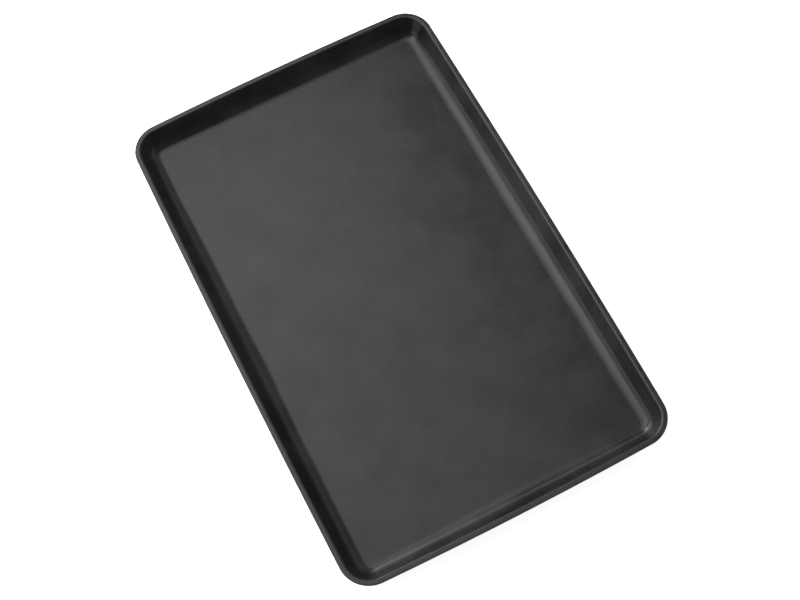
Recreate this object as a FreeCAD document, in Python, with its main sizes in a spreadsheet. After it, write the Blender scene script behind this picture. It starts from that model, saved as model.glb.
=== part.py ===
"""Shallow oil drip tray, vacuum formed in one piece from black plastic sheet.

The sheet keeps one thickness all the way: a flat floor, a large cove, four walls that
lean outwards so that trays nest, and a narrow flat rim with rounded edges. Seen from
above, each side bows out in one long shallow curve and runs smoothly into its rounded
corners. The wall, the cove and the rim follow those curves, all at one distance apart.

Frame: millimetres, +Z up, the longer side along Y, origin on the resting face under the
middle of the floor.
"""
import FreeCAD, Part

import math
import os

import Sketcher

# How a constraint names a sketch's horizontal axis, its vertical axis and an edge's points.
X_AXIS = -1
Y_AXIS = -2
START, END, CENTRE = 1, 2, 3

BOX_TOLERANCE = 0.05  # how far the finished tray's box may be from its sizes

SIZES = {
    "tray_length": 635.0,  # over the rim along Y, at the middle of the short sides
    "tray_width": 400.0,  # over the rim along X, at the middle of the long sides
    "tray_height": 25.0,  # from the resting face to the top of the rim
    "sheet_thickness": 2.5,
    "rim_flat": 4.7,  # from the rim's outer edge to where it starts to bend down
    "edge_round": 1.0,  # on both edges of the trimmed rim
    "rim_bend": 0.75,  # underside radius of the bend from rim to wall
    "wall_lean": 32.0,  # degrees that a wall leans outwards from upright
    "cove_radius": 20.0,  # inside radius of the bend from wall to floor
    "floor_corner": 2.5,  # radius of the flat floor's corners, seen from above
    "side_turn": 0.8,  # degrees that a long side turns from its middle to its corner
    "end_turn": 1.65,  # and a short side
}


def cell(name):
    """The name of a size as an expression reads it."""
    return f"Sizes.{name}"


TOP_BEND = f"({cell('rim_bend')} + {cell('sheet_thickness')})"
OUTER_COVE = f"({cell('cove_radius')} + {cell('sheet_thickness')})"

# From the rim's outer edge in to the line where the flat floor ends.
FLOOR_INSET = (
    f"({cell('rim_flat')}"
    f" + {TOP_BEND} * tan(45 - {cell('wall_lean')} / 2)"
    f" + {cell('cove_radius')} / cos({cell('wall_lean')})"
    f" + ({cell('tray_height')} - {OUTER_COVE}) * tan({cell('wall_lean')}))"
)

# The rim's corner, and where its centre stands from the middle of the tray.
RIM_CORNER = f"({FLOOR_INSET} + {cell('floor_corner')})"
REACH_X = f"({cell('tray_width')} / 2 - {RIM_CORNER})"
REACH_Y = f"({cell('tray_length')} / 2 - {RIM_CORNER})"
SLOPE_X = f"tan({cell('end_turn')} / 2)"
SLOPE_Y = f"tan({cell('side_turn')} / 2)"
CORNER_X = f"(({REACH_X} - {REACH_Y} * {SLOPE_Y}) / (1 - {SLOPE_X} * {SLOPE_Y}))"
CORNER_Y = f"(({REACH_Y} - {REACH_X} * {SLOPE_X}) / (1 - {SLOPE_X} * {SLOPE_Y}))"

# The long shallow curve of the rim's edge along a long side and along a short side, and how
# far its centre lies beyond the middle of the tray.
LONG_CURVE = f"({RIM_CORNER} + {CORNER_Y} / sin({cell('side_turn')}))"
SHORT_CURVE = f"({RIM_CORNER} + {CORNER_X} / sin({cell('end_turn')}))"
LONG_CENTRE = f"({LONG_CURVE} - {cell('tray_width')} / 2)"
SHORT_CENTRE = f"({SHORT_CURVE} - {cell('tray_length')} / 2)"


def make_sizes(doc):
    """Puts every size in the sheet, one row each, with its name beside it."""
    sheet = doc.addObject("Spreadsheet::Sheet", "Sizes")
    for row, (name, value) in enumerate(SIZES.items(), start=1):
        sheet.set(f"A{row}", name)
        sheet.set(f"B{row}", str(value))
        sheet.setAlias(f"B{row}", name)
    doc.recompute()
    return sheet


def number(sheet, expression):
    """What an expression comes to, as a plain number."""
    value = sheet.evalExpression(expression)
    return float(getattr(value, "Value", value))


def new_sketch(body, name, plane):
    """An empty sketch on one of the body's own origin planes."""
    sketch = body.newObject("Sketcher::SketchObject", name)
    role = [feature for feature in body.Origin.OriginFeatures if feature.Role == plane]
    sketch.AttachmentSupport = (role[0], [""])
    sketch.MapMode = "FlatFace"
    return sketch


def size_constraint(sketch, name, constraint, expression):
    """Adds a named dimension and ties it to the sheet."""
    index = sketch.addConstraint(constraint)
    sketch.renameConstraint(index, name)
    sketch.setExpression(f"Constraints.{name}", expression)


def floor_outline(body, sheet):
    """The flat floor seen from above: four sides that bow out and four rounded corners."""
    sketch = new_sketch(body, "floor_outline", "XY_Plane")
    corner = number(sheet, cell("floor_corner"))
    corner_x = number(sheet, CORNER_X)
    corner_y = number(sheet, CORNER_Y)
    long_radius = number(sheet, f"{LONG_CURVE} - {FLOOR_INSET}")
    short_radius = number(sheet, f"{SHORT_CURVE} - {FLOOR_INSET}")
    long_centre = number(sheet, LONG_CENTRE)
    short_centre = number(sheet, SHORT_CENTRE)
    # The arcs run anticlockwise from the corner at +X and +Y, corner and side by turns.
    centres = [(corner_x, corner_y), (0, -short_centre), (-corner_x, corner_y), (long_centre, 0)]
    centres += [(-x, -y) for x, y in centres]
    radii = [corner, short_radius, corner, long_radius] * 2
    side_turn = math.radians(number(sheet, cell("side_turn")))
    end_turn = math.radians(number(sheet, cell("end_turn")))
    quarter_turn = math.pi / 2
    turns = []
    for quarter in range(4):
        before, after = (side_turn, end_turn) if quarter % 2 == 0 else (end_turn, side_turn)
        corner_end = (quarter + 1) * quarter_turn - after
        turns.append((quarter * quarter_turn + before, corner_end))
        turns.append((corner_end, corner_end + 2 * after))
    out_of_page = FreeCAD.Vector(0, 0, 1)
    for (x, y), radius, (start, end) in zip(centres, radii, turns):
        circle = Part.Circle(FreeCAD.Vector(x, y, 0), out_of_page, radius)
        sketch.addGeometry(Part.ArcOfCircle(circle, start, end), False)

    count = len(centres)
    for arc in range(count):
        sketch.addConstraint(Sketcher.Constraint("Tangent", arc, END, (arc + 1) % count, START))
    back, left, front, right = 1, 3, 5, 7
    for one, other in ((0, 2), (0, 4), (0, 6), (back, front), (right, left)):
        sketch.addConstraint(Sketcher.Constraint("Equal", one, other))
    for side, axis in ((back, Y_AXIS), (front, Y_AXIS), (left, X_AXIS), (right, X_AXIS)):
        sketch.addConstraint(Sketcher.Constraint("PointOnObject", side, CENTRE, axis))
    origin = (X_AXIS, START)
    rows = (
        ("corner", ("Radius", 0, corner), cell("floor_corner")),
        ("long_curve", ("Radius", right, long_radius), f"{LONG_CURVE} - {FLOOR_INSET}"),
        ("short_curve", ("Radius", back, short_radius), f"{SHORT_CURVE} - {FLOOR_INSET}"),
        ("right", ("DistanceX", right, CENTRE, *origin, long_centre), LONG_CENTRE),
        ("left", ("DistanceX", *origin, left, CENTRE, long_centre), LONG_CENTRE),
        ("back", ("DistanceY", back, CENTRE, *origin, short_centre), SHORT_CENTRE),
        ("front", ("DistanceY", *origin, front, CENTRE, short_centre), SHORT_CENTRE),
    )
    for name, arguments, expression in rows:
        size_constraint(sketch, name, Sketcher.Constraint(*arguments), expression)
    return sketch


def wall_section(body, sheet, name, plane, reach):
    """The formed sheet cut across, from the floor's edge out to the rim's edge.

    The sketch's vertical axis is the centre that the side or corner turns about, and reach
    is how far outwards from it the rim's edge lies.
    """
    sketch = new_sketch(body, name, plane)
    lean = math.radians(number(sheet, cell("wall_lean")))
    sheet_t = number(sheet, cell("sheet_thickness"))
    height = number(sheet, cell("tray_height"))
    cove = number(sheet, cell("cove_radius"))
    bend = number(sheet, TOP_BEND)
    edge = number(sheet, cell("edge_round"))
    outer = number(sheet, reach)
    floor_end = number(sheet, f"{reach} - {FLOOR_INSET}")
    bend_x = outer - number(sheet, cell("rim_flat"))
    out_of_page = FreeCAD.Vector(0, 0, 1)

    def arc(x, y, radius, start, end):
        circle = Part.Circle(FreeCAD.Vector(x, y, 0), out_of_page, radius)
        return sketch.addGeometry(Part.ArcOfCircle(circle, start, end), False)

    def line(start, end):
        return sketch.addGeometry(Part.LineSegment(start, end), False)

    down = -math.pi / 2
    up = math.pi / 2
    # The arcs, each drawn anticlockwise.
    cove_in = arc(floor_end, sheet_t + cove, cove, down, -lean)
    bend_in = arc(bend_x, height - bend, bend, up, math.pi - lean)
    edge_top = arc(outer - edge, height - edge, edge, 0, up)
    edge_under = arc(outer - edge, height - sheet_t + edge, edge, down, 0)
    bend_out = arc(bend_x, height - bend, bend - sheet_t, up, math.pi - lean)
    cove_out = arc(floor_end, sheet_t + cove, cove + sheet_t, down, -lean)
    # The straight runs between them.
    wall_in = line(sketch.getPoint(cove_in, END), sketch.getPoint(bend_in, END))
    rim_top = line(sketch.getPoint(bend_in, START), sketch.getPoint(edge_top, END))
    rim_edge = line(sketch.getPoint(edge_top, START), sketch.getPoint(edge_under, END))
    rim_under = line(sketch.getPoint(edge_under, START), sketch.getPoint(bend_out, START))
    wall_out = line(sketch.getPoint(bend_out, END), sketch.getPoint(cove_out, END))
    floor_cut = line(sketch.getPoint(cove_out, START), sketch.getPoint(cove_in, START))

    tangent_ends = (
        (cove_in, END, wall_in, START),
        (wall_in, END, bend_in, END),
        (bend_in, START, rim_top, START),
        (rim_top, END, edge_top, END),
        (edge_top, START, rim_edge, START),
        (rim_edge, END, edge_under, END),
        (edge_under, START, rim_under, START),
        (rim_under, END, bend_out, START),
        (bend_out, END, wall_out, START),
        (wall_out, END, cove_out, END),
    )
    for ends in tangent_ends:
        sketch.addConstraint(Sketcher.Constraint("Tangent", *ends))
    shared_points = (
        (cove_out, START, floor_cut, START),
        (floor_cut, END, cove_in, START),
        (cove_in, CENTRE, cove_out, CENTRE),
        (bend_in, CENTRE, bend_out, CENTRE),
    )
    for points in shared_points:
        sketch.addConstraint(Sketcher.Constraint("Coincident", *points))
    for flat in (rim_top, rim_under):
        sketch.addConstraint(Sketcher.Constraint("Horizontal", flat))
    for upright in (rim_edge, floor_cut):
        sketch.addConstraint(Sketcher.Constraint("Vertical", upright))
    sketch.addConstraint(Sketcher.Constraint("Vertical", cove_in, CENTRE, floor_cut, START))
    sketch.addConstraint(Sketcher.Constraint("PointOnObject", floor_cut, START, X_AXIS))
    sketch.addConstraint(Sketcher.Constraint("Equal", edge_top, edge_under))

    origin = (X_AXIS, START)
    rows = (
        ("lean", ("Angle", wall_in, START, Y_AXIS, START, lean), cell("wall_lean")),
        ("cove", ("Radius", cove_in, cove), cell("cove_radius")),
        ("outer_cove", ("Radius", cove_out, cove + sheet_t), OUTER_COVE),
        ("top_bend", ("Radius", bend_in, bend), TOP_BEND),
        ("under_bend", ("Radius", bend_out, bend - sheet_t), cell("rim_bend")),
        ("edge", ("Radius", edge_top, edge), cell("edge_round")),
        ("rim_height", ("DistanceY", *origin, rim_top, START, height), cell("tray_height")),
        ("reach", ("DistanceX", *origin, rim_edge, START, outer), reach),
        ("floor_end", ("DistanceX", *origin, cove_in, CENTRE, floor_end), f"{reach} - {FLOOR_INSET}"),
    )
    for row_name, arguments, expression in rows:
        size_constraint(sketch, row_name, Sketcher.Constraint(*arguments), expression)
    return sketch


def revolved(body, sketch, name, angle):
    """Turns a section about its own vertical axis."""
    turned = body.newObject("PartDesign::Revolution", name)
    turned.Profile = sketch
    turned.ReferenceAxis = (sketch, ["V_Axis"])
    turned.setExpression("Angle", angle)
    return turned


def mirrored(body, name, originals, plane):
    """Repeats features on the other side of one of the body's origin planes."""
    mirror = body.newObject("PartDesign::Mirrored", name)
    role = [feature for feature in body.Origin.OriginFeatures if feature.Role == plane]
    mirror.MirrorPlane = (role[0], [""])
    if originals:
        mirror.Originals = originals
    return mirror


def make_pan(doc, sheet):
    """The whole tray, as one body: floor, long walls, short walls, corners."""
    body = doc.addObject("PartDesign::Body", "pan_body")
    body.Label = "pan_body"

    floor = body.newObject("PartDesign::Pad", "floor")
    floor.Profile = floor_outline(body, sheet)
    floor.setExpression("Length", cell("sheet_thickness"))
    doc.recompute()

    long_section = wall_section(body, sheet, "long_wall_section", "XZ_Plane", LONG_CURVE)
    long_section.setExpression("AttachmentOffset.Base.x", f"-{LONG_CENTRE}")
    long_wall = revolved(body, long_section, "long_wall", f"2 * {cell('side_turn')}")
    long_wall.Midplane = True
    doc.recompute()
    body.Tip = mirrored(body, "other_long_wall", [long_wall], "YZ_Plane")
    doc.recompute()

    short_section = wall_section(body, sheet, "short_wall_section", "YZ_Plane", SHORT_CURVE)
    short_section.setExpression("AttachmentOffset.Base.x", f"-{SHORT_CENTRE}")
    short_wall = revolved(body, short_section, "short_wall", f"2 * {cell('end_turn')}")
    short_wall.Midplane = True
    doc.recompute()
    body.Tip = mirrored(body, "other_short_wall", [short_wall], "XZ_Plane")
    doc.recompute()

    corner_section = wall_section(body, sheet, "corner_section", "XZ_Plane", RIM_CORNER)
    # The plane's normal points to -Y, so the section moves back along it.
    corner_section.AttachmentOffset.Rotation.Axis = FreeCAD.Vector(0, 1, 0)
    corner_section.setExpression("AttachmentOffset.Base.x", CORNER_X)
    corner_section.setExpression("AttachmentOffset.Base.z", f"-{CORNER_Y}")
    corner_section.setExpression("AttachmentOffset.Rotation.Angle", cell("side_turn"))
    corner_angle = f"90 - {cell('side_turn')} - {cell('end_turn')}"
    corner = revolved(body, corner_section, "corner", corner_angle)
    doc.recompute()

    corners = body.newObject("PartDesign::MultiTransform", "other_corners")
    corners.Originals = [corner]
    corners.Transformations = [
        mirrored(body, "across_the_width", [], "YZ_Plane"),
        mirrored(body, "along_the_length", [], "XZ_Plane"),
    ]
    body.Tip = corners
    doc.recompute()
    return body


def check_document(doc):
    """Stops the build if any object failed to compute."""
    for item in doc.Objects:
        bad = [state for state in item.State if state in ("Invalid", "Error")]
        if bad:
            raise RuntimeError(f"{item.Name} is {bad}")
    for sketch in doc.findObjects("Sketcher::SketchObject"):
        if not sketch.FullyConstrained:
            raise RuntimeError(f"{sketch.Name} isn't fully constrained")


def check_shape(body, sheet):
    """Stops the build unless the body is one whole solid of the size in the sheet."""
    shape = body.Shape
    if shape.isNull() or not shape.isValid():
        raise RuntimeError(f"{body.Label} has no valid shape")
    if len(shape.Solids) != 1:
        raise RuntimeError(f"{body.Label} has {len(shape.Solids)} solids")
    box = shape.optimalBoundingBox(False, False)
    spans = {"tray_width": box.XLength, "tray_length": box.YLength, "tray_height": box.ZLength}
    for name, span in spans.items():
        if abs(span - number(sheet, cell(name))) > BOX_TOLERANCE:
            raise RuntimeError(f"{name} came out as {span:.2f} mm")


def main():
    doc = FreeCAD.newDocument("OilDripTray")
    sheet = make_sizes(doc)
    pan = make_pan(doc, sheet)
    check_document(doc)
    check_shape(pan, sheet)
    os.makedirs("parts", exist_ok=True)
    pan.Shape.exportStep(f"parts/{pan.Label}.step")
    corner = number(sheet, RIM_CORNER)
    print(f"{pan.Label}: {pan.Shape.Volume / 1000:.1f} cm3, rim corners {corner:.1f} mm")


main()
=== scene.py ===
"""A shallow black oil drip tray, formed in one piece from plastic sheet, on a white ground."""
import math

import bpy
from mathutils import Matrix, Vector


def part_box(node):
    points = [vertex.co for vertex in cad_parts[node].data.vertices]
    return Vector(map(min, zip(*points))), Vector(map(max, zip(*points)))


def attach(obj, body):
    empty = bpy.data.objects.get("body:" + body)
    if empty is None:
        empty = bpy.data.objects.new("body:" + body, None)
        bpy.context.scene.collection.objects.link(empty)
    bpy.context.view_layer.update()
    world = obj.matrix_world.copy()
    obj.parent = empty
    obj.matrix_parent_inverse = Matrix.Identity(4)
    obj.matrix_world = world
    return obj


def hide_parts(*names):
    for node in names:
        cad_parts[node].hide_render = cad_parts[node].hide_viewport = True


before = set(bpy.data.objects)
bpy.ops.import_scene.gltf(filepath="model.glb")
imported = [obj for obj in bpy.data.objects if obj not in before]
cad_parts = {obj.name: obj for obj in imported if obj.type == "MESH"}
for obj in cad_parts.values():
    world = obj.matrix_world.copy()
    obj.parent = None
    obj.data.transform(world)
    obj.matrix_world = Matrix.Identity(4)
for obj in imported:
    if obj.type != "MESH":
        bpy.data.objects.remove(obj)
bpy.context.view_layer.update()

# ---------------------------------------------------------------------------------------
# The tray. One sheet of black plastic, drawn hot over a mould: a flat floor, a large cove,
# walls that lean outwards and a narrow flat rim. Only the rim is trimmed, so the sheet's
# only cut edge runs round it; every other line is a soft bend that the mould gave.

low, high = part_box("pan_body")
tray_size = high - low
SHEET_THICKNESS = 0.0025

# The mould. Its bends are given as they come out on the sheet's upper face.
RIM_FLAT = 0.0047
RIM_BEND = 0.00325
WALL_LEAN = math.radians(32.0)
COVE_RADIUS = 0.020
FLOOR_CORNER = 0.0025
SIDE_BOW = 0.0025
END_BOW = 0.0035

# What the sheet does once it is off the mould, and how the knife leaves its edge.
MIDDLE_LEAN = math.radians(34.5)
MIDDLE_COVE = 0.021
END_LEAN = math.radians(31.0)
END_COVE = 0.017
WALL_UNEVENNESS = 0.9
FLOOR_RISE = 0.0006
FLOOR_RIPPLE = 0.00025
TRIM_WOBBLE = 0.0003
EDGE_ROUND = 0.0009

# How often the walls, the floor and the trimmed edge change, in waves per metre.
WALL_WAVES = 12.0
FLOOR_WAVES = 9.0
TRIM_WAVES = 55.0
RIPPLE_SEED = 0.4

# The cells of the formed face: the straight stretches, and the steps round each bend.
CELLS_ACROSS = 64
CELLS_ALONG = 112
COVE_STEPS = 18
BEND_STEPS = 7
EDGE_STEPS = 4


def add_node(tree, kind, inputs=None, **settings):
    """A node with its settings, its inputs wired from sockets or set to plain values."""
    node = tree.nodes.new(kind)
    for name, value in settings.items():
        setattr(node, name, value)
    for key, value in (inputs or {}).items():
        if isinstance(value, bpy.types.NodeSocket):
            tree.links.new(value, node.inputs[key])
        else:
            node.inputs[key].default_value = value
    return node


class Sums:
    """Writes sums as maths nodes of one tree."""

    def __init__(self, tree):
        self.tree = tree

    def __call__(self, operation, *values, clamp=False):
        inputs = dict(enumerate(values))
        node = add_node(self.tree, "ShaderNodeMath", inputs, operation=operation)
        node.use_clamp = clamp
        return node.outputs[0]

    def vector(self, x=0.0, y=0.0, z=0.0):
        inputs = {"X": x, "Y": y, "Z": z}
        return add_node(self.tree, "ShaderNodeCombineXYZ", inputs).outputs[0]

    def parts(self, vector):
        return add_node(self.tree, "ShaderNodeSeparateXYZ", {0: vector}).outputs

    def vectors(self, operation, *vectors):
        inputs = dict(enumerate(vectors))
        return add_node(self.tree, "ShaderNodeVectorMath", inputs, operation=operation).outputs[0]

    def scaled(self, vector, factor):
        inputs = {0: vector, "Scale": factor}
        return add_node(self.tree, "ShaderNodeVectorMath", inputs, operation="SCALE").outputs[0]

    def between(self, share, first, second, kind, clamp=True):
        """What lies this share of the way from one colour or place to another."""
        inputs = {"Factor": share, "A": first, "B": second}
        settings = {"data_type": kind, "clamp_factor": clamp}
        return add_node(self.tree, "ShaderNodeMix", inputs, **settings).outputs["Result"]

    def noise(self, place, waves, detail=1.0):
        """A smooth random value from 0 to 1, with so many waves in one unit of the place."""
        inputs = {"Vector": place, "Scale": waves, "Detail": detail}
        return add_node(self.tree, "ShaderNodeTexNoise", inputs).outputs


def new_group(name, kind, inputs, outputs):
    """An empty node group with named sockets, and its input sockets by name."""
    tree = bpy.data.node_groups.new(name, kind)
    for direction, sockets in (("INPUT", inputs), ("OUTPUT", outputs)):
        for label, socket_type in sockets.items():
            tree.interface.new_socket(label, in_out=direction, socket_type=socket_type)
    return tree, tree.nodes.new("NodeGroupInput").outputs


def close_group(tree, **results):
    """Wires what a group gives out, with the underscores of a name read as spaces."""
    last = tree.nodes.new("NodeGroupOutput")
    for name, socket in results.items():
        tree.links.new(socket, last.inputs[name.replace("_", " ")])


def wall_top(given, sums):
    """How far out from a floor corner's centre the wall's top and the trimmed edge lie."""
    half_turn = sums("SUBTRACT", math.pi / 4, sums("DIVIDE", given["Wall Lean"], 2.0))
    tail = sums("TANGENT", half_turn)
    foot = sums("MULTIPLY_ADD", given["Cove Radius"], tail, given["Floor Corner"])
    knee = sums("MULTIPLY_ADD", given["Depth"], sums("TANGENT", given["Wall Lean"]), foot)
    bend_end = sums("MULTIPLY_ADD", given["Rim Bend"], tail, knee)
    return knee, sums("ADD", bend_end, given["Rim Flat"])


def draw_section(tree, given, sums, knee, reach, lean, cove):
    """The formed sheet's upper face cut across, as an open line.

    It starts over the centre of a floor corner. Its four points are the start, the foot of
    the wall, the top of the wall and the trimmed edge, and the middle two are rounded.
    """
    run = sums("MULTIPLY", given["Depth"], sums("TANGENT", given[lean]))
    foot = sums("SUBTRACT", knee, run)
    points = {
        "Point 1": sums.vector(),
        "Point 2": sums.vector(foot),
        "Point 3": sums.vector(knee, given["Depth"]),
        "Point 4": sums.vector(reach, given["Depth"]),
    }
    closed = add_node(tree, "GeometryNodeCurvePrimitiveQuadrilateral", points, mode="POINTS")
    opened = add_node(
        tree, "GeometryNodeSetSplineCyclic", {"Geometry": closed.outputs[0], "Cyclic": False}
    )
    # The points are counted from 0, so the top of the wall is number 2.
    index = tree.nodes.new("GeometryNodeInputIndex").outputs[0]
    at_knee = sums("COMPARE", index, 2.0, 0.1)
    radius_gap = sums("SUBTRACT", given["Rim Bend"], given[cove])
    radius = sums("MULTIPLY_ADD", at_knee, radius_gap, given[cove])
    step_gap = sums("SUBTRACT", given["Bend Steps"], given["Cove Steps"])
    steps = sums("MULTIPLY_ADD", at_knee, step_gap, given["Cove Steps"])
    inputs = {"Curve": opened.outputs[0], "Count": steps, "Radius": radius}
    return add_node(tree, "GeometryNodeFilletCurve", inputs, mode="POLY").outputs[0]


def taken_at(tree, section, ring):
    """The place of one point of a section."""
    position = tree.nodes.new("GeometryNodeInputPosition").outputs[0]
    inputs = {"Geometry": section, "Value": position, "Index": ring}
    settings = {"data_type": "FLOAT_VECTOR", "domain": "POINT"}
    return add_node(tree, "GeometryNodeSampleIndex", inputs, **settings).outputs[0]


def drawn_in(sums, value, run, span, run_span, bow):
    """Draws a place in from its side by up to the bow, the more the nearer to the side's end."""
    share = sums("DIVIDE", run, sums("DIVIDE", run_span, 2.0))
    towards_side = sums("DIVIDE", value, sums("DIVIDE", span, 2.0))
    draw = sums("MULTIPLY", sums("MULTIPLY", share, share), sums("MULTIPLY", towards_side, bow))
    return sums("SUBTRACT", value, draw)


def tray_former():
    """The mould's rule: it makes a flat grid of sheet and forms the tray's upper face from it.

    Each ring of the grid beyond the floor's corners takes the place and height of one point
    of the section. A wall springs out a little once it is off the mould, most in the middle
    of its side, so it leans further there and its cove is larger than at the corners. The
    section is drawn for both places and blended between them, a little unevenly.
    """
    lengths = ("Length", "Width", "Depth", "Sheet Thickness", "Rim Flat", "Rim Bend")
    lengths += ("Wall Lean", "Cove Radius", "Floor Corner", "Side Bow", "End Bow")
    lengths += ("Middle Lean", "Middle Cove", "End Lean", "End Cove", "Wall Unevenness")
    lengths += ("Floor Rise", "Floor Ripple", "Trim Wobble")
    lengths += ("Wall Waves", "Floor Waves", "Trim Waves", "Ripple Seed")
    counts = ("Cells Across", "Cells Along", "Cove Steps", "Bend Steps")
    inputs = {"Geometry": "NodeSocketGeometry", "Plastic": "NodeSocketMaterial"}
    inputs.update({name: "NodeSocketFloat" for name in lengths})
    inputs.update({name: "NodeSocketInt" for name in counts})
    tree, given = new_group(
        "tray former", "GeometryNodeTree", inputs, {"Geometry": "NodeSocketGeometry"}
    )
    sums = Sums(tree)
    knee, reach = wall_top(given, sums)
    middle = draw_section(tree, given, sums, knee, reach, "Middle Lean", "Middle Cove")
    end = draw_section(tree, given, sums, knee, reach, "End Lean", "End Cove")

    size = add_node(tree, "GeometryNodeAttributeDomainSize", {0: end}, component="CURVE")
    rings = sums("SUBTRACT", size.outputs["Point Count"], 1.0)
    cells_x = sums("MULTIPLY_ADD", rings, 2.0, given["Cells Across"])
    cells_y = sums("MULTIPLY_ADD", rings, 2.0, given["Cells Along"])
    flat = add_node(
        tree,
        "GeometryNodeMeshGrid",
        {
            "Size X": cells_x,
            "Size Y": cells_y,
            "Vertices X": sums("ADD", cells_x, 1.0),
            "Vertices Y": sums("ADD", cells_y, 1.0),
        },
    )
    # The flat grid has cells of one unit, so a place in it is a count of cells.
    place = sums.parts(tree.nodes.new("GeometryNodeInputPosition").outputs[0])
    across, along, beyond, shares, straights = [], [], [], [], []
    for axis, cells, span in (("X", "Cells Across", "Width"), ("Y", "Cells Along", "Length")):
        half_cells = sums("DIVIDE", given[cells], 2.0)
        count = sums("ABSOLUTE", place[axis])
        straight = sums("SUBTRACT", sums("DIVIDE", given[span], 2.0), reach)
        inside = sums("DIVIDE", sums("MINIMUM", count, half_cells), half_cells)
        straights.append(straight)
        shares.append(inside)
        across.append(sums("SIGN", place[axis]))
        along.append(sums("MULTIPLY", inside, straight))
        beyond.append(sums("MAXIMUM", sums("SUBTRACT", count, half_cells), 0.0))
    ring = sums("ROUND", sums("MAXIMUM", *beyond))
    nearest = [sums("MULTIPLY", side, run) for side, run in zip(across, along)]
    seeded = sums.vector(*nearest, given["Ripple Seed"])

    # Past one side the share across it is 1, so the product runs from 0 in the middle of a
    # side to 1 at its ends.
    to_end = sums("MULTIPLY", sums("MULTIPLY", *shares), math.pi)
    wander = sums("SUBTRACT", sums.noise(seeded, given["Wall Waves"])[0], 0.5)
    uneven = sums("MULTIPLY", wander, given["Wall Unevenness"])
    midness = sums("ADD", sums("MULTIPLY_ADD", sums("COSINE", to_end), 0.5, 0.5), uneven)
    sections = [taken_at(tree, section, ring) for section in (end, middle)]
    drawn = sums.parts(sums.between(midness, *sections, "VECTOR", clamp=False))

    # The rim is trimmed by hand, so its edge wanders inwards a little.
    at_edge = sums("COMPARE", ring, rings, 0.5)
    trim = sums.noise(seeded, given["Trim Waves"])[0]
    wobble = sums("MULTIPLY", sums("MULTIPLY", at_edge, trim), given["Trim Wobble"])
    out = sums("SUBTRACT", drawn["X"], wobble)
    outwards = sums.parts(sums.vectors("NORMALIZE", sums.vector(*beyond)))
    square_x = sums("MULTIPLY", across[0], sums("MULTIPLY_ADD", out, outwards["X"], along[0]))
    square_y = sums("MULTIPLY", across[1], sums("MULTIPLY_ADD", out, outwards["Y"], along[1]))

    # Every side bows out: it is at its full width in the middle and draws in towards its ends.
    x = drawn_in(sums, square_x, square_y, given["Width"], given["Length"], given["Side Bow"])
    y = drawn_in(sums, square_y, square_x, given["Length"], given["Width"], given["End Bow"])

    # The floor stays a little high in the middle and ripples slightly as it cools.
    held = []
    for value, straight in zip((x, y), straights):
        share = sums("DIVIDE", value, straight)
        held.append(sums("SUBTRACT", 1.0, sums("MULTIPLY", share, share), clamp=True))
    freedom = sums("MULTIPLY", *held)
    ripple = sums.noise(sums.vector(x, y, given["Ripple Seed"]), given["Floor Waves"])[0]
    rise = sums("MULTIPLY", sums("MULTIPLY", freedom, freedom), given["Floor Rise"])
    soft = sums("MULTIPLY", sums("SQRT", freedom), given["Floor Ripple"])
    lift = sums("MULTIPLY_ADD", soft, ripple, rise)
    z = sums("ADD", sums("ADD", drawn["Y"], given["Sheet Thickness"]), lift)
    formed = add_node(
        tree,
        "GeometryNodeSetPosition",
        {"Geometry": flat.outputs["Mesh"], "Position": sums.vector(x, y, z)},
    )
    whole = add_node(tree, "GeometryNodeRealizeInstances", {"Geometry": formed.outputs[0]})
    smooth = add_node(tree, "GeometryNodeSetShadeSmooth", {"Geometry": whole.outputs[0]})
    coloured = add_node(
        tree,
        "GeometryNodeSetMaterial",
        {"Geometry": smooth.outputs[0], "Material": given["Plastic"]},
    )
    close_group(tree, Geometry=coloured.outputs[0])
    return tree


def ramp(tree, value, start, full):
    """0 where the value is below the start, 1 where it is full, and even in between."""
    inputs = {"Value": value, "From Min": start, "From Max": full}
    return add_node(tree, "ShaderNodeMapRange", inputs).outputs[0]


CLOUD_DETAIL = 3.0
CLOUD_START = 0.36
CLOUD_FULL = 0.64


def mottle_group():
    """Soft clouds of more and less gloss, from the sheet cooling unevenly on the mould."""
    tree, given = new_group(
        "cooling mottle",
        "ShaderNodeTree",
        {"Place": "NodeSocketVector", "Patch Size": "NodeSocketFloat"},
        {"Cloud": "NodeSocketFloat"},
    )
    sums = Sums(tree)
    noise = sums.noise(given["Place"], sums("DIVIDE", 1.0, given["Patch Size"]), CLOUD_DETAIL)
    close_group(tree, Cloud=ramp(tree, noise[0], CLOUD_START, CLOUD_FULL))
    return tree


# How far the pads are pushed about, as a share of a pad, and how much finer grain is on them.
PAD_STIR = 1.4
PAD_DETAIL = 2.0
FINE_GRAIN = 0.6


def grain_group():
    """The fine leathery grain of the mould: small rounded pads with shallow lines between."""
    tree, given = new_group(
        "mould grain",
        "ShaderNodeTree",
        {"Place": "NodeSocketVector", "Pad Size": "NodeSocketFloat"},
        {"Height": "NodeSocketFloat"},
    )
    sums = Sums(tree)
    pads_per_metre = sums("DIVIDE", 1.0, given["Pad Size"])
    stir = sums.noise(given["Place"], pads_per_metre, PAD_DETAIL)
    bent = sums.scaled(stir["Color"], sums("MULTIPLY", given["Pad Size"], PAD_STIR))
    moved = sums.vectors("ADD", given["Place"], bent)
    pads = add_node(
        tree,
        "ShaderNodeTexVoronoi",
        {"Vector": moved, "Scale": pads_per_metre},
        feature="SMOOTH_F1",
    )
    fine = sums("MULTIPLY", stir[0], FINE_GRAIN)
    close_group(tree, Height=sums("SUBTRACT", fine, pads.outputs["Distance"]))
    return tree


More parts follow.
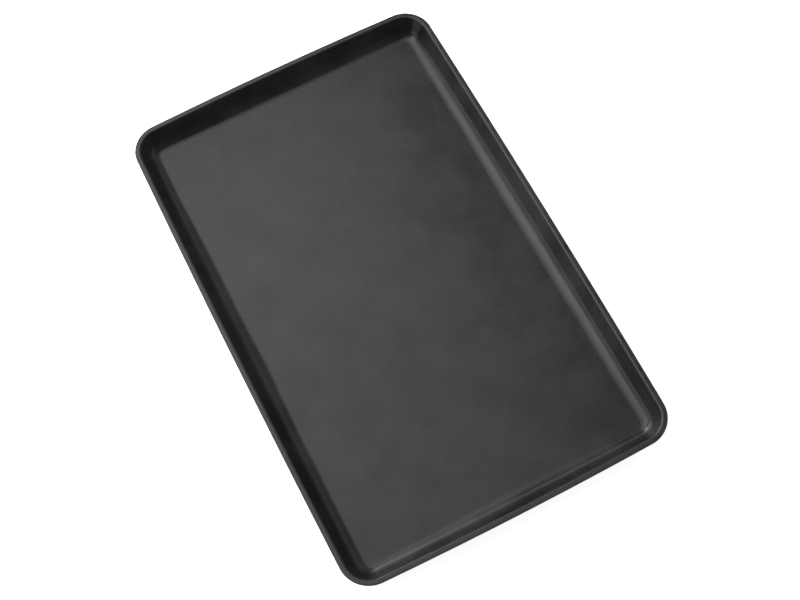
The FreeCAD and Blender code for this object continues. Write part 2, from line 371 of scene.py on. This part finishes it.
# Each set of rubs: its direction in degrees, and its streaks per metre across and along.
RUB_SETS = ((20.0, 900.0, 9.0), (105.0, 700.0, 7.0), (150.0, 1200.0, 14.0))
RUB_DETAIL = 2.0
RUB_START = 0.68
RUB_FULL = 0.76

# The rubs lie in patches, where the tray is handled.
PATCH_WAVES = 14.0
PATCH_START = 0.45
PATCH_FULL = 0.65


def rub_group():
    """Hairline rubs from stacking, lifting and wiping: long thin streaks that cross."""
    tree, given = new_group(
        "hairline rubs",
        "ShaderNodeTree",
        {"Place": "NodeSocketVector", "Amount": "NodeSocketFloat"},
        {"Mask": "NodeSocketFloat"},
    )
    sums = Sums(tree)
    masks = []
    for turn, across, along in RUB_SETS:
        turned = add_node(
            tree,
            "ShaderNodeVectorRotate",
            {"Vector": given["Place"], "Angle": math.radians(turn)},
            rotation_type="Z_AXIS",
        )
        stretched = sums.vectors("MULTIPLY", turned.outputs[0], (along, across, along))
        streak = sums.noise(stretched, 1.0, RUB_DETAIL)[0]
        masks.append(ramp(tree, streak, RUB_START, RUB_FULL))
    crossed = sums("MAXIMUM", sums("MAXIMUM", masks[0], masks[1]), masks[2])
    where = ramp(tree, sums.noise(given["Place"], PATCH_WAVES)[0], PATCH_START, PATCH_FULL)
    close_group(tree, Mask=sums("MULTIPLY", sums("MULTIPLY", crossed, where), given["Amount"]))
    return tree


MOTTLE = mottle_group()
GRAIN = grain_group()
RUBS = rub_group()


def new_material(name):
    """A material with a Principled shader, its tree, its sums and its object coordinates."""
    material = bpy.data.materials.new(name)
    material.use_nodes = True
    tree = material.node_tree
    place = tree.nodes.new("ShaderNodeTexCoord").outputs["Object"]
    return material, tree, tree.nodes["Principled BSDF"], Sums(tree), place


def place_group(tree, group, **inputs):
    """Places a shader group in a material and gives its one output."""
    node = tree.nodes.new("ShaderNodeGroup")
    node.node_tree = group
    for name, value in inputs.items():
        socket = node.inputs[name.replace("_", " ")]
        if isinstance(value, bpy.types.NodeSocket):
            tree.links.new(value, socket)
        else:
            socket.default_value = value
    return node.outputs[0]


CLOUD_SIZE = 0.055
SMALL_CLOUD_SIZE = 0.012
PAD_SIZE = 0.0009
GRAIN_STRENGTH = 0.28
GRAIN_HEIGHT = 0.00008
RUB_AMOUNT = 1.0
RUB_RELIEF = -0.06

DEEP_BLACK = (0.0040, 0.0041, 0.0043, 1.0)
CLOUDED_BLACK = (0.0185, 0.0185, 0.0187, 1.0)
RUBBED_GREY = (0.045, 0.045, 0.046, 1.0)
RUB_PALENESS = 0.35
WORN_PALENESS = 0.3

# Wear starts on the bend below the rim and is full just under its top.
WEAR_START = high.z - 0.0015
WEAR_FULL = high.z - 0.0001

# The plain sheet's roughness, and how much each mark on it adds.
SHEET_ROUGHNESS = 0.235
CLOUD_ROUGHNESS = 0.05
SMALL_CLOUD_ROUGHNESS = 0.03
RUB_ROUGHNESS = -0.06
WORN_ROUGHNESS = 0.08


def moulded_plastic():
    """Through-dyed black sheet with the mould's fine grain and a low, uneven sheen."""
    material, tree, shader, sums, place = new_material("moulded black plastic")
    cloud = place_group(tree, MOTTLE, Place=place, Patch_Size=CLOUD_SIZE)
    small_cloud = place_group(tree, MOTTLE, Place=place, Patch_Size=SMALL_CLOUD_SIZE)
    grain = place_group(tree, GRAIN, Place=place, Pad_Size=PAD_SIZE)
    rubs = place_group(tree, RUBS, Place=place, Amount=RUB_AMOUNT)

    # The rim is what hands, shelves and other trays rub, so it is a little paler.
    on_rim = ramp(tree, sums.parts(place)["Z"], WEAR_START, WEAR_FULL)
    worn = sums("MULTIPLY", on_rim, small_cloud)
    paleness = sums(
        "MAXIMUM",
        sums("MULTIPLY", rubs, RUB_PALENESS),
        sums("MULTIPLY", worn, WORN_PALENESS),
    )
    tint = sums.between(cloud, DEEP_BLACK, CLOUDED_BLACK, "RGBA")
    rubbed = sums.between(paleness, tint, RUBBED_GREY, "RGBA")
    tree.links.new(rubbed, shader.inputs["Base Color"])

    gloss = SHEET_ROUGHNESS
    marks = ((cloud, CLOUD_ROUGHNESS), (small_cloud, SMALL_CLOUD_ROUGHNESS))
    marks += ((rubs, RUB_ROUGHNESS), (worn, WORN_ROUGHNESS))
    for mark, change in marks:
        gloss = sums("MULTIPLY_ADD", mark, change, gloss)
    tree.links.new(gloss, shader.inputs["Roughness"])

    relief = sums("MULTIPLY_ADD", rubs, RUB_RELIEF, grain)
    inputs = {"Strength": GRAIN_STRENGTH, "Distance": GRAIN_HEIGHT, "Height": relief}
    bump = add_node(tree, "ShaderNodeBump", inputs)
    tree.links.new(bump.outputs[0], shader.inputs["Normal"])
    return material


CUT_CLOUD_SIZE = 0.008
CUT_BLACK = (0.014, 0.014, 0.0145, 1.0)
CUT_PALE_BLACK = (0.024, 0.024, 0.0245, 1.0)
CUT_ROUGHNESS = 0.5

# The knife's lines: how many to the metre along X, Y and Z, and how they stand out.
KNIFE_LINES = (900.0, 900.0, 4000.0)
KNIFE_DETAIL = 3.0
KNIFE_ROUGHNESS = 0.2
KNIFE_STRENGTH = 0.4
KNIFE_HEIGHT = 0.0001


def cut_plastic():
    """The trimmed edge: a matt, slightly paler face with the trimming knife's fine lines."""
    material, tree, shader, sums, place = new_material("trimmed plastic edge")
    cloud = place_group(tree, MOTTLE, Place=place, Patch_Size=CUT_CLOUD_SIZE)
    lines = sums.noise(sums.vectors("MULTIPLY", place, KNIFE_LINES), 1.0, KNIFE_DETAIL)[0]
    tint = sums.between(cloud, CUT_BLACK, CUT_PALE_BLACK, "RGBA")
    tree.links.new(tint, shader.inputs["Base Color"])
    gloss = sums("MULTIPLY_ADD", lines, KNIFE_ROUGHNESS, CUT_ROUGHNESS)
    tree.links.new(gloss, shader.inputs["Roughness"])
    inputs = {"Strength": KNIFE_STRENGTH, "Distance": KNIFE_HEIGHT, "Height": lines}
    bump = add_node(tree, "ShaderNodeBump", inputs)
    tree.links.new(bump.outputs[0], shader.inputs["Normal"])
    return material


def plain_mesh(piece, name):
    """Turns what a piece's modifiers make into the piece's own mesh and takes them off."""
    bpy.context.view_layer.update()
    shown = piece.evaluated_get(bpy.context.evaluated_depsgraph_get())
    mesh = bpy.data.meshes.new_from_object(shown)
    mesh.name = name
    piece.modifiers.clear()
    piece.data = mesh


def set_inputs(modifier, values):
    """Sets a Geometry Nodes modifier's inputs by their names in the tree."""
    for item in modifier.node_group.interface.items_tree:
        if item.in_out == "INPUT" and item.name in values:
            modifier[item.identifier] = values[item.name]


tray = bpy.data.objects.new("drip_tray", bpy.data.meshes.new("drip_tray"))
bpy.context.scene.collection.objects.link(tray)
former = tray.modifiers.new("tray former", "NODES")
former.node_group = tray_former()
set_inputs(
    former,
    {
        "Plastic": moulded_plastic(),
        "Length": tray_size.y,
        "Width": tray_size.x,
        "Depth": tray_size.z - SHEET_THICKNESS,
        "Sheet Thickness": SHEET_THICKNESS,
        "Rim Flat": RIM_FLAT,
        "Rim Bend": RIM_BEND,
        "Wall Lean": WALL_LEAN,
        "Cove Radius": COVE_RADIUS,
        "Floor Corner": FLOOR_CORNER,
        "Side Bow": SIDE_BOW,
        "End Bow": END_BOW,
        "Middle Lean": MIDDLE_LEAN,
        "Middle Cove": MIDDLE_COVE,
        "End Lean": END_LEAN,
        "End Cove": END_COVE,
        "Wall Unevenness": WALL_UNEVENNESS,
        "Floor Rise": FLOOR_RISE,
        "Floor Ripple": FLOOR_RIPPLE,
        "Trim Wobble": TRIM_WOBBLE,
        "Wall Waves": WALL_WAVES,
        "Floor Waves": FLOOR_WAVES,
        "Trim Waves": TRIM_WAVES,
        "Ripple Seed": RIPPLE_SEED,
        "Cells Across": CELLS_ACROSS,
        "Cells Along": CELLS_ALONG,
        "Cove Steps": COVE_STEPS,
        "Bend Steps": BEND_STEPS,
    },
)
plain_mesh(tray, "upper_face")

# The sheet's thickness goes on below the upper face, and the cut edge gets its own material.
SHARP_EDGE = math.radians(50.0)
FLAT_FACE_WEIGHT = 60

tray.data.materials.append(cut_plastic())
thickness = tray.modifiers.new("sheet thickness", "SOLIDIFY")
thickness.thickness = SHEET_THICKNESS
thickness.offset = -1.0
thickness.use_even_offset = True
thickness.material_offset_rim = 1
softened = tray.modifiers.new("softened edges", "BEVEL")
softened.limit_method = "ANGLE"
softened.angle_limit = SHARP_EDGE
softened.width = EDGE_ROUND
softened.segments = EDGE_STEPS
softened.use_clamp_overlap = True
evened = tray.modifiers.new("even shading", "WEIGHTED_NORMAL")
evened.weight = FLAT_FACE_WEIGHT
plain_mesh(tray, "drip_tray")

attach(tray, "root")
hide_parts("pan_body")

# ---------------------------------------------------------------------------------------
# The ground. A wide sheet of plain white card, much larger than the tray, lying flat. It
# glows softly, as a card on a light table does, so that it stays white all round the tray.

GROUND_HALF = 4.0
CARD_WHITE = (0.93, 0.93, 0.93, 1.0)
CARD_ROUGHNESS = 0.9
GLOW_WHITE = (1.0, 1.0, 1.0, 1.0)
GLOW_STRENGTH = 0.85

ground_mesh = bpy.data.meshes.new("ground")
ground_corners = [(-GROUND_HALF, -GROUND_HALF), (GROUND_HALF, -GROUND_HALF)]
ground_corners += [(GROUND_HALF, GROUND_HALF), (-GROUND_HALF, GROUND_HALF)]
ground_mesh.from_pydata([(x, y, low.z) for x, y in ground_corners], [], [(0, 1, 2, 3)])
ground = bpy.data.objects.new("ground", ground_mesh)
bpy.context.scene.collection.objects.link(ground)
card = bpy.data.materials.new("white card")
card.use_nodes = True
card_shader = card.node_tree.nodes["Principled BSDF"]
card_shader.inputs["Base Color"].default_value = CARD_WHITE
card_shader.inputs["Roughness"].default_value = CARD_ROUGHNESS
card_shader.inputs["Emission Color"].default_value = GLOW_WHITE
card_shader.inputs["Emission Strength"].default_value = GLOW_STRENGTH
ground.data.materials.append(card)

# ---------------------------------------------------------------------------------------
# The light. Wide soft boxes hang over the tray's far half, the brighter ones past its left
# side. Upright ones stand at the back, the left and the right, and a little light comes
# from all round.

DOWN = (0.0, 0.0, -1.0)
FORWARDS = (0.0, -1.0, 0.0)
TO_RIGHT = (1.0, 0.0, 0.0)
TO_LEFT = (-1.0, 0.0, 0.0)
SURROUND_WHITE = (1.0, 1.0, 1.0, 1.0)
SURROUND_STRENGTH = 0.16


def soft_box(name, place, faces, size, brightness):
    """A rectangular soft light. Its power follows from its size and its face's brightness."""
    light = bpy.data.lights.new(name, "AREA")
    light.shape = "RECTANGLE"
    light.size, light.size_y = size
    light.energy = math.pi * size[0] * size[1] * brightness
    box = bpy.data.objects.new(name, light)
    box.location = place
    box.rotation_euler = Vector(faces).to_track_quat("-Z", "Y").to_euler()
    bpy.context.scene.collection.objects.link(box)


soft_box("overhead box", (-1.2, 1.45, 2.2), DOWN, size=(3.6, 3.1), brightness=1.3)
soft_box("inner overhead box", (-1.2, 1.3, 2.19), DOWN, size=(3.6, 1.0), brightness=0.5)
soft_box("left overhead box", (-1.7, 1.05, 2.18), DOWN, size=(2.6, 1.5), brightness=1.1)
soft_box("right overhead box", (2.0, 1.55, 2.2), DOWN, size=(2.1, 2.9), brightness=0.33)
soft_box("back strip", (-1.5, 3.0, 0.85), FORWARDS, size=(3.0, 0.7), brightness=6.3)
soft_box("back upper box", (-0.5, 3.0, 1.7), FORWARDS, size=(1.0, 1.0), brightness=5.1)
soft_box("back right box", (0.5, 3.0, 0.6), FORWARDS, size=(1.0, 1.2), brightness=1.1)
soft_box("left box", (-3.0, 1.0, 0.4), TO_RIGHT, size=(4.0, 0.8), brightness=1.45)
soft_box("left upper box", (-3.0, 1.0, 1.5), TO_RIGHT, size=(4.0, 1.4), brightness=0.6)
soft_box("right box", (3.0, 0.0, 1.3), TO_LEFT, size=(6.0, 1.8), brightness=0.38)

surround = bpy.data.worlds.new("surround")
surround.use_nodes = True
surround_light = surround.node_tree.nodes["Background"]
surround_light.inputs["Color"].default_value = SURROUND_WHITE
surround_light.inputs["Strength"].default_value = SURROUND_STRENGTH
bpy.context.scene.world = surround
bpy.context.scene.view_settings.view_transform = "Standard"

# ---------------------------------------------------------------------------------------
# The camera. It stands high over the tray's near end, a little to the left, looks down at
# the tray's middle and is tipped nine degrees clockwise.

VIEW_FROM = Vector((-0.2235, -0.7003, 1.6122))
VIEW_OF = Vector((-0.0013, -0.0333, 0.025))
TIP = math.radians(-9.10)
LENS = 68.58
SENSOR_WIDTH = 36.0

lens = bpy.data.cameras.new("camera")
lens.lens = LENS
lens.sensor_width = SENSOR_WIDTH
lens.sensor_fit = "HORIZONTAL"
camera = bpy.data.objects.new("camera", lens)
aim = (VIEW_OF - VIEW_FROM).to_track_quat("-Z", "Y").to_matrix().to_4x4()
camera.matrix_world = Matrix.Translation(VIEW_FROM) @ aim @ Matrix.Rotation(TIP, 4, "Z")
bpy.context.scene.collection.objects.link(camera)
bpy.context.scene.camera = camera
